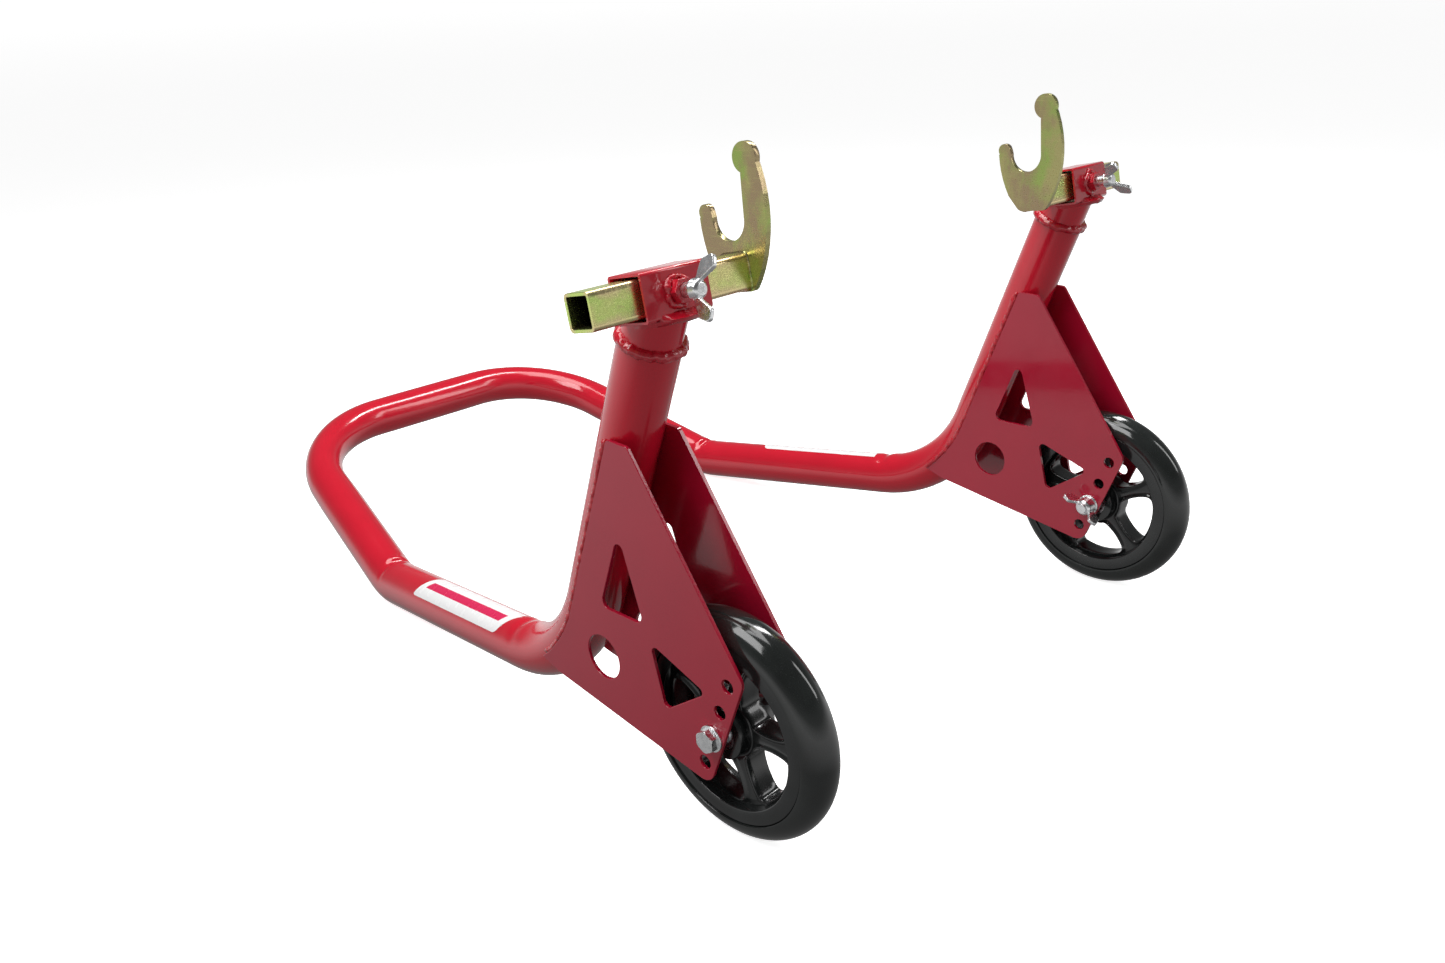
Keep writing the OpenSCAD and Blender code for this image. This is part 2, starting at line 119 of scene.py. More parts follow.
class StandColours(bpy.types.PropertyGroup):
    frame_red: FloatVectorProperty(
        name="Frame red", description="Powder coat of the tube, sleeves and welds",
        default=(0.60, 0.008, 0.026), min=0, max=1, subtype="COLOR")
    plate_red: FloatVectorProperty(
        name="Plate red", description="Powder coat of the fork plates",
        default=(0.43, 0.007, 0.032), min=0, max=1, subtype="COLOR")
    passivate_yellow: FloatVectorProperty(
        name="Passivate yellow", description="Main colour of the yellow zinc plating",
        default=(0.56, 0.52, 0.22), min=0, max=1, subtype="COLOR")
    passivate_green: FloatVectorProperty(
        name="Passivate green", description="Green clouds in the yellow zinc plating",
        default=(0.42, 0.58, 0.15), min=0, max=1, subtype="COLOR")
    passivate_pink: FloatVectorProperty(
        name="Passivate pink", description="Pink-brown clouds and borders in the yellow zinc plating",
        default=(0.58, 0.43, 0.26), min=0, max=1, subtype="COLOR")
    zinc: FloatVectorProperty(
        name="Zinc", description="Bright zinc of the screws, nuts and washers",
        default=(0.93, 0.94, 0.95), min=0, max=1, subtype="COLOR")
    rim_black: FloatVectorProperty(
        name="Rim black", description="Moulded plastic of the rims",
        default=(0.014, 0.016, 0.016), min=0, max=1, subtype="COLOR")
    tyre_black: FloatVectorProperty(
        name="Tyre black", description="Glossy rubber of the tyres",
        default=(0.016, 0.019, 0.018), min=0, max=1, subtype="COLOR")
    label_red: FloatVectorProperty(
        name="Label red", description="Stripe on the side labels",
        default=(0.70, 0.02, 0.10), min=0, max=1, subtype="COLOR")


def sizes():
    return bpy.context.scene.stand_sizes


def colours():
    return bpy.context.scene.stand_colours


# ---------------------------------------------------------------- finishes


class Finish:
    """A material's node tree, with short ways to add the nodes that the finishes share."""

    def __init__(self, name):
        self.material = bpy.data.materials.new(name)
        self.material.use_nodes = True
        self.tree = self.material.node_tree
        self.tree.nodes.clear()
        output = self.tree.nodes.new("ShaderNodeOutputMaterial")
        self.shader = self.tree.nodes.new("ShaderNodeBsdfPrincipled")
        self.tree.links.new(self.shader.outputs["BSDF"], output.inputs["Surface"])
        self.place = self.tree.nodes.new("ShaderNodeTexCoord").outputs["Object"]

    def join(self, out, to):
        self.tree.links.new(out, to)

    def noise(self, scale, detail=3.0, roughness=0.5, stretch=None):
        node = self.tree.nodes.new("ShaderNodeTexNoise")
        node.inputs["Scale"].default_value = scale
        node.inputs["Detail"].default_value = detail
        node.inputs["Roughness"].default_value = roughness
        place = self.place
        if stretch:
            mapping = self.tree.nodes.new("ShaderNodeMapping")
            mapping.inputs["Scale"].default_value = stretch[:3]
            mapping.inputs["Rotation"].default_value = stretch[3:] or (0, 0, 0)
            self.join(place, mapping.inputs["Vector"])
            place = mapping.outputs["Vector"]
        self.join(place, node.inputs["Vector"])
        return node.outputs["Fac"]

    def spread(self, value, low, high, to_low=0.0, to_high=1.0):
        node = self.tree.nodes.new("ShaderNodeMapRange")
        for name, number in (("From Min", low), ("From Max", high), ("To Min", to_low), ("To Max", to_high)):
            node.inputs[name].default_value = number
        self.join(value, node.inputs["Value"])
        return node.outputs["Result"]

    def mix(self, share, a, b):
        node = self.tree.nodes.new("ShaderNodeMix")
        node.data_type = "RGBA"
        self.join(share, node.inputs["Factor"])
        for name, colour in (("A", a), ("B", b)):
            socket = [s for s in node.inputs if s.name == name and s.type == "RGBA"][0]
            if isinstance(colour, bpy.types.NodeSocket):
                self.join(colour, socket)
            else:
                socket.default_value = (*colour, 1.0)
        return [s for s in node.outputs if s.type == "RGBA"][0]

    def math(self, operation, a, b):
        node = self.tree.nodes.new("ShaderNodeMath")
        node.operation = operation
        for socket, value in zip(node.inputs, (a, b)):
            if isinstance(value, bpy.types.NodeSocket):
                self.join(value, socket)
            else:
                socket.default_value = value
        return node.outputs[0]

    def bump(self, height, strength, distance, under=None):
        node = self.tree.nodes.new("ShaderNodeBump")
        node.inputs["Strength"].default_value = strength
        node.inputs["Distance"].default_value = distance
        self.join(height, node.inputs["Height"])
        if under:
            self.join(under, node.inputs["Normal"])
        return node.outputs["Normal"]

    def set(self, **values):
        for name, value in values.items():
            self.shader.inputs[name.replace("_", " ")].default_value = value


def shade(colour, by):
    return tuple(min(1.0, c * by) for c in colour)


def powder_coat(name, red, gloss, peel, coat=0.5):
    """Glossy red powder coat: faint colour drift, orange-peel skin."""
    f = Finish(name)
    drift = f.spread(f.noise(22, 2), 0.35, 0.65)
    grain = f.spread(f.noise(900, 2), 0.4, 0.7)
    tone = f.mix(drift, shade(red, 0.94), shade(red, 1.04))
    f.join(f.mix(grain, tone, shade(red, 1.02)), f.shader.inputs["Base Color"])
    f.join(f.spread(f.noise(60, 3), 0.3, 0.7, gloss - 0.03, gloss + 0.05), f.shader.inputs["Roughness"])
    f.join(f.bump(f.noise(420, 2), peel, 0.0004), f.shader.inputs["Normal"])
    f.set(Coat_Weight=coat, Coat_Roughness=0.06, IOR=1.5)
    return f.material


def weld_coat(name, red):
    """The same coat pooled over a rough weld."""
    f = Finish(name)
    rough = f.noise(700, 4, 0.6)
    f.join(f.mix(f.spread(rough, 0.35, 0.7), shade(red, 0.78), red), f.shader.inputs["Base Color"])
    f.join(f.spread(f.noise(300, 2), 0.3, 0.7, 0.14, 0.28), f.shader.inputs["Roughness"])
    pits = f.bump(f.noise(1500, 2), 0.12, 0.0003)
    f.join(f.bump(rough, 0.35, 0.0006, pits), f.shader.inputs["Normal"])
    f.set(Coat_Weight=0.6, Coat_Roughness=0.05, IOR=1.5)
    return f.material


def yellow_passivate(name, tone, border=False):
    """Yellow zinc plating: green and pink-brown clouds, scratches, and paler borders along an arm's edges."""
    c = colours()
    yellow, green, pink = (shade(x, tone) for x in (c.passivate_yellow, c.passivate_green, c.passivate_pink))
    f = Finish(name)
    clouds = f.spread(f.noise(34, 3, 0.55), 0.40 if border else 0.47, 0.60)
    stains = f.spread(f.noise(42, 4, 0.6, (1.0, 1.0, 0.6)), 0.44, 0.60)
    grain = f.spread(f.noise(700, 3, 0.6), 0.35, 0.7)
    base = f.mix(clouds, yellow, green)
    if border:
        # how near a point of the square section is to its corners
        local = f.tree.nodes.new("ShaderNodeMapping")
        turn = Matrix.Rotation(SLEEVE_TILT, 4, "X")
        centre = turn @ (SLEEVE_CENTRE + Vector((0, ARM_SET_BACK, 0)))
        local.inputs["Rotation"].default_value = (SLEEVE_TILT, 0, 0)
        local.inputs["Location"].default_value = -centre
        f.join(f.place, local.inputs["Vector"])
        split = f.tree.nodes.new("ShaderNodeSeparateXYZ")
        f.join(local.outputs["Vector"], split.inputs["Vector"])
        depth, height = (f.math("ABSOLUTE", split.outputs[axis], 0.0) for axis in ("Y", "Z"))
        wave = f.spread(f.noise(90, 3), 0.3, 0.7, -0.0018, 0.0018)
        corner = f.math("ADD", f.math("MINIMUM", depth, height), wave)
        base = f.mix(f.spread(corner, 0.0045, 0.0085, 0.0, 0.85), base, pink)
    else:
        base = f.mix(stains, base, shade(pink, 0.80))
    streak = f.spread(f.noise(70, 2, 0.5, (3.0, 1.2, 26.0, 0.5, 0.2, 0.6)), 0.60, 0.68, 0.0, 0.35)
    other = f.spread(f.noise(60, 2, 0.5, (3.0, 22.0, 1.4, -0.4, 0.1, 0.3)), 0.62, 0.70, 0.0, 0.30)
    base = f.mix(streak, base, shade(yellow, 1.5))
    base = f.mix(other, base, shade(pink, 0.75))
    base = f.mix(f.math("MULTIPLY", grain, 0.18), base, shade(yellow, 1.3))
    # painted shade: ambient occlusion turns the colour near black deep inside the bores and hollows
    bore_shade_ao = f.tree.nodes.new("ShaderNodeAmbientOcclusion")
    bore_shade_ao.only_local = True
    bore_shade_ao.samples = 6
    bore_shade_ao.inputs["Distance"].default_value = 0.03
    # painted shade colour, mixed in where the occlusion is strong
    painted_bore_shade = shade(pink, 0.03)
    f.join(f.mix(f.spread(bore_shade_ao.outputs["AO"], 0.25, 0.55), painted_bore_shade, base), f.shader.inputs["Base Color"])
    f.join(f.math("ADD", f.spread(grain, 0, 1, 0.22, 0.32), f.math("MULTIPLY", streak, 0.2)),
           f.shader.inputs["Roughness"])
    f.join(f.bump(streak, 0.08, 0.0002), f.shader.inputs["Normal"])
    f.set(Metallic=0.92, Specular_IOR_Level=0.5)
    return f.material


def bright_zinc(name, colour, gloss=0.24):
    """Bright plated steel with a slightly uneven shine."""
    f = Finish(name)
    cloud = f.spread(f.noise(180, 3), 0.35, 0.65)
    f.join(f.mix(cloud, shade(colour, 0.90), shade(colour, 1.03)), f.shader.inputs["Base Color"])
    f.join(f.spread(f.noise(500, 3), 0.3, 0.7, gloss - 0.06, gloss + 0.10), f.shader.inputs["Roughness"])
    f.join(f.bump(f.noise(1100, 2), 0.05, 0.0002), f.shader.inputs["Normal"])
    f.set(Metallic=1.0)
    return f.material


def moulded(name, colour, gloss, skin, spots):
    """Black plastic or rubber, a little uneven, with fine specks."""
    f = Finish(name)
    drift = f.spread(f.noise(35, 3), 0.35, 0.65)
    speck = f.spread(f.noise(1400, 1), 0.66, 0.74, 0.0, spots)
    tone = f.mix(drift, shade(colour, 0.75), shade(colour, 1.25))
    f.join(f.mix(speck, tone, shade(colour, 5.0)), f.shader.inputs["Base Color"])
    f.join(f.spread(f.noise(80, 3), 0.3, 0.7, gloss - 0.03, gloss + 0.05), f.shader.inputs["Roughness"])
    f.join(f.bump(f.noise(380, 2), skin, 0.0003), f.shader.inputs["Normal"])
    f.set(IOR=1.5, Coat_Weight=0.35, Coat_Roughness=0.05)
    return f.material


def label_film(name):
    """White film with one centred red stripe, drawn from the label's own length and width."""
    f = Finish(name)
    coords = f.tree.nodes.new("ShaderNodeUVMap")
    coords.uv_map = "label"
    split = f.tree.nodes.new("ShaderNodeSeparateXYZ")
    f.join(coords.outputs["UV"], split.inputs["Vector"])
    along, across = split.outputs["X"], split.outputs["Y"]

    def band(value, low, high):
        return f.math("MULTIPLY", f.math("GREATER_THAN", value, low), f.math("LESS_THAN", value, high))

    def box(a0, a1, b0, b1):
        return f.math("MULTIPLY", band(along, a0, a1), band(across, b0, b1))

    paper = f.mix(f.noise(300, 2), (0.90, 0.90, 0.90), (0.96, 0.96, 0.96))
    stripe = f.mix(box(0.06, 0.94, 0.36, 0.64), paper, colours().label_red)
    f.join(stripe, f.shader.inputs["Base Color"])
    f.join(f.spread(f.noise(120, 2), 0.3, 0.7, 0.22, 0.30), f.shader.inputs["Roughness"])
    f.set(Coat_Weight=0.3, Coat_Roughness=0.1)
    return f.material


_made = {}


def material(name):
    """Each finish is made once and shared."""
    c = colours()
    makers = {
        "frame_red": lambda n: powder_coat(n, c.frame_red, 0.16, 0.10, 0.6),
        "plate_red": lambda n: powder_coat(n, c.plate_red, 0.13, 0.10, 0.4),
        "weld_red": lambda n: weld_coat(n, c.frame_red),
        "passivated": lambda n: yellow_passivate(n, 0.80),
        "passivated_arm": lambda n: yellow_passivate(n, 1.5, True),
        "zinc": lambda n: bright_zinc(n, c.zinc),
        "bearing_steel": lambda n: bright_zinc(n, (0.56, 0.57, 0.59), 0.26),
        "rim_black": lambda n: moulded(n, c.rim_black, 0.16, 0.06, 0.3),
        "tyre_black": lambda n: moulded(n, c.tyre_black, 0.11, 0.03, 0.15),
        "label_film": label_film,
    }
    if name not in _made:
        _made[name] = makers[name](name)
    return _made[name]


def finish_node(node, name):
    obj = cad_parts[node]
    for slot in obj.material_slots:
        slot.material = material(name)
    return obj


def soften(node, width, segments=3, angle=30):
    """Rounds a CAD node's edges: joins its split corners, drops flat facets, bevels what is sharp."""
    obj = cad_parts[node]
    weld = obj.modifiers.new("join", "WELD")
    weld.merge_threshold = 1e-6
    flat = obj.modifiers.new("flat", "DECIMATE")
    flat.decimate_type = "DISSOLVE"
    flat.angle_limit = math.radians(0.6)
    bevel = obj.modifiers.new("edge", "BEVEL")
    bevel.width = width
    bevel.segments = segments
    bevel.limit_method = "ANGLE"
    bevel.angle_limit = math.radians(angle)
    bevel.harden_normals = True
    return obj


def cast(node, voxel, rounds):
    """Gives a CAD node the soft joins of a casting."""
    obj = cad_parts[node]
    weld = obj.modifiers.new("join", "WELD")
    weld.merge_threshold = 1e-6
    skin = obj.modifiers.new("skin", "REMESH")
    skin.mode = "VOXEL"
    skin.voxel_size = voxel
    skin.use_smooth_shade = True
    smooth = obj.modifiers.new("smooth", "SMOOTH")
    smooth.factor = 0.5
    smooth.iterations = rounds
    return obj


# ---------------------------------------------------------------- mesh helpers


def make_piece(name, points, faces, finish, sharp=SHARP, uv=None):
    """A mesh object with outward normals, smooth where it isn't sharp."""
    mesh = bpy.data.meshes.new(name)
    mesh.from_pydata([tuple(p) for p in points], [], faces)
    if uv is not None:
        layer = mesh.uv_layers.new(name="label")
        for loop in mesh.loops:
            layer.data[loop.index].uv = uv[loop.vertex_index]
    shape = bmesh.new()
    shape.from_mesh(mesh)
    bmesh.ops.remove_doubles(shape, verts=shape.verts, dist=2e-7)
    bmesh.ops.recalc_face_normals(shape, faces=shape.faces)
    shape.to_mesh(mesh)
    shape.free()
    mesh.polygons.foreach_set("use_smooth", [True] * len(mesh.polygons))
    mesh.set_sharp_from_angle(angle=sharp)
    obj = bpy.data.objects.new(name, mesh)
    bpy.context.scene.collection.objects.link(obj)
    obj.data.materials.append(material(finish))
    return obj


def tangents(points, closed):
    if closed:
        way = np.roll(points, -1, 0) - np.roll(points, 1, 0)
    else:
        way = np.gradient(points, axis=0)
    return way / np.linalg.norm(way, axis=1)[:, None]


def carried_normals(points, way):
    """Normals that turn as little as possible along a line (double reflection)."""
    start = Vector(way[0]).orthogonal().normalized()
    normals = [np.array(start)]
    for i in range(len(points) - 1):
        v1 = points[i + 1] - points[i]
        c1 = v1 @ v1
        r = normals[-1] - 2 / c1 * (v1 @ normals[-1]) * v1
        t = way[i] - 2 / c1 * (v1 @ way[i]) * v1
        v2 = way[i + 1] - t
        c2 = max(v2 @ v2, 1e-18)
        n = r - 2 / c2 * (v2 @ r) * v2
        normals.append(n / np.linalg.norm(n))
    return np.array(normals)


def ring_faces(rings, around, closed, base=0):
    faces = []
    for i in range(rings if closed else rings - 1):
        a, b = base + i * around, base + (i + 1) % rings * around
        for j in range(around):
            k = (j + 1) % around
            faces.append((a + j, a + k, b + k, b + j))
    return faces


def bead(name, line, radius, finish="weld_red", around=14, ripple=0.0034, lumps=0.22, seed=0.0,
         closed=False):
    """A weld bead along a line: rippled, lumpy, and rounded off at its ends."""
    points = np.array([tuple(p) for p in line], float)
    way = tangents(points, closed)
    normals = carried_normals(points, way)
    sides = np.cross(way, normals)
    steps = np.linalg.norm(np.diff(points, axis=0), axis=1)
    along = np.concatenate([[0], np.cumsum(steps)])
    total = along[-1]
    verts = []
    for i, p in enumerate(points):
        s = along[i]
        scale = 1 + 0.10 * abs(math.sin(math.pi * s / ripple))
        if not closed:
            end = min(s, total - s) / (1.6 * radius)
            scale *= math.sqrt(max(0.02, 1 - (1 - min(1, end)) ** 2))
        for j in range(around):
            turn = 2 * math.pi * j / around
            out = math.cos(turn) * normals[i] + math.sin(turn) * sides[i]
            spot = Vector(p + out * radius) * 260 + Vector((seed, seed * 1.7, 0))
            fine = Vector(p + out * radius) * 900 + Vector((0, seed, seed))
            r = radius * scale * (1 + lumps * noise.noise(spot) + lumps * 0.35 * noise.noise(fine))
            verts.append(p + out * r)
    faces = ring_faces(len(points), around, closed)
    if not closed:
        faces.append(tuple(range(around)))
        faces.append(tuple(range(len(points) * around - 1, (len(points) - 1) * around - 1, -1)))
    return make_piece(name, verts, faces, finish, sharp=math.radians(70))


def mirrored(point, side):
    return Vector((point[0] * SIDES[side], point[1], point[2]))


# ---------------------------------------------------------------- bent tube


class TubeLine:
    """The bent tube's centreline from the right upright's top round to the left's."""

    def __init__(self):
        half = [(UPRIGHT_TOP, 0.0), (FOOT_CORNER, FOOT_BEND),
                (KINK_CORNER, KINK_BEND), (REAR_CORNER, REAR_BEND)]
        corners = half + [(Vector((-p.x, p.y, p.z)), r) for p, r in reversed(half)]
        self.pieces, self.bends = [], []
        at, here = 0.0, corners[0][0]
        for i in range(1, len(corners) - 1):
            corner, radius = corners[i]
            back = (corners[i - 1][0] - corner).normalized()
            on = (corners[i + 1][0] - corner).normalized()
            half_angle = back.angle(on) / 2
            set_back = radius / math.tan(half_angle)
            start, end = corner + back * set_back, corner + on * set_back
            centre = corner + (back + on).normalized() * radius / math.sin(half_angle)
            run = (start - here).length
            self.pieces.append(("run", at, at + run, here, start))
            at += run
            sweep = math.pi - 2 * half_angle
            self.pieces.append(("bend", at, at + sweep * radius, centre, start, end, sweep, radius))
            self.bends.append({"from": at, "to": at + sweep * radius, "centre": centre, "corner": corner})
            at += sweep * radius
            here = end
        run = (corners[-1][0] - here).length
        self.pieces.append(("run", at, at + run, here, corners[-1][0]))
        self.length = at + run

    def at(self, s):
        for piece in self.pieces:
            if s <= piece[2] + 1e-9:
                break
        if piece[0] == "run":
            _, a, b, p, q = piece
            return p.lerp(q, (s - a) / (b - a)), (q - p).normalized()
        _, a, b, centre, start, end, sweep, radius = piece
        u = (s - a) / (b - a)
        x, y = (start - centre) / math.sin(sweep), (end - centre) / math.sin(sweep)
        point = centre + x * math.sin(sweep * (1 - u)) + y * math.sin(sweep * u)
        way = -x * math.cos(sweep * (1 - u)) + y * math.cos(sweep * u)
        return point, way.normalized()


LINE = TubeLine()


def tube_features():
    """Creases and folds: place along the line, direction they face, length, sharpness, depth."""
    depth = sizes().crease_depth
    found = []
    for i, bend in enumerate(LINE.bends):
        kind = (0, 1, 2, 2, 1, 0)[i]
        back = 1 if i < 3 else -1
        mid = (bend["from"] + bend["to"]) / 2
        inward = (bend["centre"] - LINE.at(mid)[0]).normalized()
        if kind == 1:
            # the kink folds in on its inside, with a small pleat on each flank
            found.append((mid, inward, 0.0040, 7.0, -depth))
            found.append((mid - 0.0080, inward, 0.0045, 5.0, 0.30 * depth))
            found.append((mid + 0.0080, inward, 0.0045, 5.0, 0.30 * depth))
            tilt = (inward + Vector((0.8 * back, 0, 0))).normalized()
            found.append((mid - 0.004 * back, tilt, 0.0026, 9.0, -0.5 * depth))
        if kind == 0:
            # a shallow wrinkle where each foot bend leaves the former
            edge = bend["to"] if i < 3 else bend["from"]
            found.append((edge - 0.006 * back, inward, 0.0040, 2.4, -0.40 * depth))
            found.append((edge - 0.016 * back, inward, 0.0055, 2.0, 0.22 * depth))
            found.append((edge + 0.003 * back, inward, 0.0045, 2.4, 0.20 * depth))
        if kind == 2:
            # a faint dip where each rear corner starts
            edge = bend["from"] if i < 3 else bend["to"]
            found.append((edge + 0.02 * back, inward, 0.010, 2.0, -0.16 * depth))
    return found


def tube_skin(radius, around, step, features):
    """Rings of points round the centreline."""
    count = int(LINE.length / step) + 1
    where = np.linspace(0, LINE.length, count)
    points, ways = zip(*(LINE.at(s) for s in where))
    points = np.array([tuple(p) for p in points])
    ways = np.array([tuple(w) for w in ways])
    normals = carried_normals(points, ways)
    sides = np.cross(ways, normals)
    turn = np.linspace(0, 2 * np.pi, around, endpoint=False)
    out = np.cos(turn)[None, :, None] * normals[:, None] + np.sin(turn)[None, :, None] * sides[:, None]
    reach = np.full((count, around), radius)
    for place, facing, width, power, depth in features:
        face = np.clip(out @ np.array(facing), 0, 1) ** power
        reach += depth * np.exp(-(((where - place) / width) ** 2))[:, None] * face
    offset = out * reach[:, :, None]
    flattening = sizes().corner_flattening
    for i in (2, 3):
        bend = LINE.bends[i]
        span = bend["to"] - bend["from"]
        u = np.clip((where - bend["from"] + 0.25 * span) / (1.5 * span), 0, 1)
        amount = flattening * np.sin(np.pi * u) ** 2
        inward = np.array(bend["centre"]) - points
        inward -= (inward * ways).sum(1)[:, None] * ways
        inward /= np.linalg.norm(inward, axis=1)[:, None]
        push = (offset * inward[:, None]).sum(2)
        offset -= (amount[:, None] * push)[:, :, None] * inward[:, None]
    skin = points[:, None] + offset
    skin[:, :, 2] = np.maximum(skin[:, :, 2], FLOOR_GAP)
    return skin


def build_frame_tube():
    s = sizes()
    around, around_in = 72, 32
    outer = tube_skin(s.tube_radius, around, 0.0020, tube_features())
    inner = tube_skin(s.tube_radius - s.tube_wall - 0.00002, around_in, 0.008, [])
    n_out, n_in = len(outer), len(inner)
    verts = list(outer.reshape(-1, 3)) + list(inner.reshape(-1, 3))
    base = n_out * around
    faces = ring_faces(n_out, around, False)
    faces += [f[::-1] for f in ring_faces(n_in, around_in, False, base)]
    # the ends: join both rims with one ring-shaped strip
    for outer_at, inner_at in ((0, base), ((n_out - 1) * around, base + (n_in - 1) * around_in)):
        o = [outer_at + j for j in range(around)]
        p = [inner_at + j for j in range(around_in)]
        faces += zip_rims(verts, o, p)
    tube = make_piece("bent_tube", verts, faces, "frame_red", sharp=math.radians(55))
    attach(tube, "stand")
    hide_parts("frame_tube")
    return tube


def zip_rims(verts, a, b):
    """Triangles between two loops that lie one inside the other."""
    centre = np.mean([verts[i] for i in a], 0)
    x = np.array(verts[a[0]]) - centre
    x /= np.linalg.norm(x)
    normal = np.cross(x, np.array(verts[a[len(a) // 4]]) - centre)
    y = np.cross(normal / np.linalg.norm(normal), x)

    def angles(loop):
        found = [math.atan2((verts[i] - centre) @ y, (verts[i] - centre) @ x) % (2 * math.pi) for i in loop]
        order = sorted(range(len(loop)), key=lambda k: found[k])
        return [(found[k], loop[k]) for k in order]

    ra, rb = angles(a), angles(b)
    i = j = 0
    faces = []
    while i < len(ra) or j < len(rb):
        next_a = ra[(i + 1) % len(ra)][0] + (2 * math.pi if i + 1 >= len(ra) else 0)
        next_b = rb[(j + 1) % len(rb)][0] + (2 * math.pi if j + 1 >= len(rb) else 0)
        va, vb = ra[i % len(ra)][1], rb[j % len(rb)][1]
        if j >= len(rb) or (i < len(ra) and next_a <= next_b):
            faces.append((va, ra[(i + 1) % len(ra)][1], vb))
            i += 1
        else:
            faces.append((va, rb[(j + 1) % len(rb)][1], vb))
            j += 1
    return faces


# ---------------------------------------------------------------- welds


def circle_line(centre, normal, radius, count, start=Vector((1, 0, 0))):
    normal = normal.normalized()
    x = (start - normal * start.dot(normal)).normalized()
    y = normal.cross(x)
    return [
        centre + (x * math.cos(2 * math.pi * i / count) + y * math.sin(2 * math.pi * i / count)) * radius
        for i in range(count)
    ]


def build_ring_welds():
    """The fat weld round each upright's top."""
    for n, side in enumerate(SIDES):
        centre = mirrored(UPRIGHT_TOP + UPRIGHT_DIR * 0.0006, side)
        line = circle_line(centre, UPRIGHT_DIR, RING_WELD_LINE, 150)
        weld = bead(f"ring_weld_{side}", line, sizes().ring_bead, around=18, ripple=0.0058,
                    lumps=0.30, seed=3.1 + n, closed=True)
        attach(weld, "stand")
        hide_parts(f"stub_weld_{side}")


def build_plate_welds():
    """The welds along the fork plates' rear edges."""
    first = (UPRIGHT_TOP.z - PLATE_WELD_TOP) / math.cos(UPRIGHT_LEAN)
    bend = LINE.bends[0]
    last = bend["from"] + FOOT_BEND * PLATE_WELD_SWEEP
    count = 170
    for side in SIDES:
        for n, (where, sign) in enumerate((("outer", 1), ("inner", -1))):
            line = []
            for i in range(count):
                point, way = LINE.at(first + (last - first) * i / (count - 1))
                back = Vector((sign, 0, 0)).cross(way) * sign
                back = back if back.y > 0 else -back
                drift = 0.0005 * noise.noise(Vector((i * 0.11, n * 9.0, SIDES[side] * 5)))
                spot = point + back * (0.0011 + drift) + Vector((sign * (sizes().tube_radius + 0.0006), 0, 0))
                line.append(mirrored(spot, side))
            weld = bead(f"plate_weld_{where}_{side}", line, sizes().stitch_bead, around=12,
                        ripple=0.0030, lumps=0.55, seed=7.0 + n)
            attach(weld, "stand")


def sleeve_frame(side):
    """Axes of a clamp: X along the sleeve, Y out of its back, Z up."""
    turn = Matrix.Rotation(-SLEEVE_TILT, 4, "X")
    return Matrix.Translation(mirrored(SLEEVE_CENTRE, side)) @ turn


def build_clamp_welds():
    """The fillet between stub and sleeve, and the rough weld round each clamp nut."""
    for n, side in enumerate(SIDES):
        place = sleeve_frame(side)
        upright = (place.to_3x3().inverted() @ UPRIGHT_DIR).normalized()
        count, verts = 120, []
        for i in range(count):
            turn = 2 * math.pi * i / count
            # on the stub's skin, where it meets the sleeve's underside
            across = Vector((math.cos(turn), math.sin(turn), 0))
            skin = across * STUB_RADIUS
            slope = upright.to_2d() / upright.z
            rim = Vector((skin.x, skin.y / upright.z, -SLEEVE_HALF))
            lump = 0.0005 * noise.noise(Vector((math.cos(turn) * 4, math.sin(turn) * 4, n * 3.0)))
            low = rim + Vector((-slope.x, -slope.y, -1)) * (0.0030 + lump) + across * 0.0001
            if abs(rim.y) > SLEEVE_HALF:
                flank = math.copysign(SLEEVE_HALF - 0.0002, rim.y)
                high = Vector((rim.x, flank, -SLEEVE_HALF + 0.0034 + 2 * lump))
            else:
                high = Vector((rim.x, rim.y, -SLEEVE_HALF + 0.0002)) + across * (0.0030 + 2 * lump)
                high.x = max(-SLEEVE_REACH, min(SLEEVE_REACH, high.x))
                high.y = max(-SLEEVE_HALF, min(SLEEVE_HALF, high.y))
            edge = rim + across * (0.0009 + lump) + Vector((0, 0, -0.0002))
            core = Vector((rim.x * 0.72, rim.y * 0.60, -SLEEVE_HALF - 0.001))
            for point in (low, low.lerp(edge, 0.55), edge, edge.lerp(high, 0.5), high, core):
                verts.append(place @ point)
        faces = ring_faces(count, 6, True)
        fillet = make_piece(f"sleeve_weld_{side}", verts, faces, "weld_red", sharp=math.radians(80))
        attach(fillet, "stand")
        front = place @ Vector((0, -SLEEVE_HALF - 0.0003, 0))
        out = place.to_3x3() @ Vector((0, -1, 0))
        line = circle_line(front, out, NUT_WELD_LINE, 90)
        spatter = bead(f"nut_weld_{side}", line, NUT_WELD_BEAD, ripple=0.0041, lumps=0.75,
                       seed=11.0 + n, closed=True)
        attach(spatter, "stand")


def build_arm_welds():
    """The small weld that holds each hook on its arm."""
    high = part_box("hook_plate_right")[1]
    half, corner = ARM_HALF + 0.0001, ARM_CORNER

    def ray(angle):
        return Vector((math.cos(angle), math.sin(angle)))

    for n, side in enumerate(SIDES):
        place = sleeve_frame(side)
        x = SIDES[side] * (high.x - 0.0003) - place.translation.x
        line = []
        for k in range(4):
            base = math.pi / 2 * k
            centre = ray(base + math.pi / 4) * (half - corner) * math.sqrt(2)
            line += [centre + ray(base + math.pi / 2 * i / 6) * corner for i in range(7)]
            # the straight side, from this rounded corner to the next
            after = ray(base + 3 * math.pi / 4) * (half - corner) * math.sqrt(2)
            last, goal = line[-1], after + ray(base + math.pi / 2) * corner
            line += [last.lerp(goal, i / 14) for i in range(1, 14)]
        points = [place @ Vector((x, p.x + ARM_SET_BACK, p.y)) for p in line]
        weld = bead(f"hook_weld_{side}", points, HOOK_WELD_BEAD, finish="passivated", around=12,
                    ripple=0.0032, seed=17.0 + n, closed=True)
        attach(weld, f"arm_{side}")


# ---------------------------------------------------------------- wheels


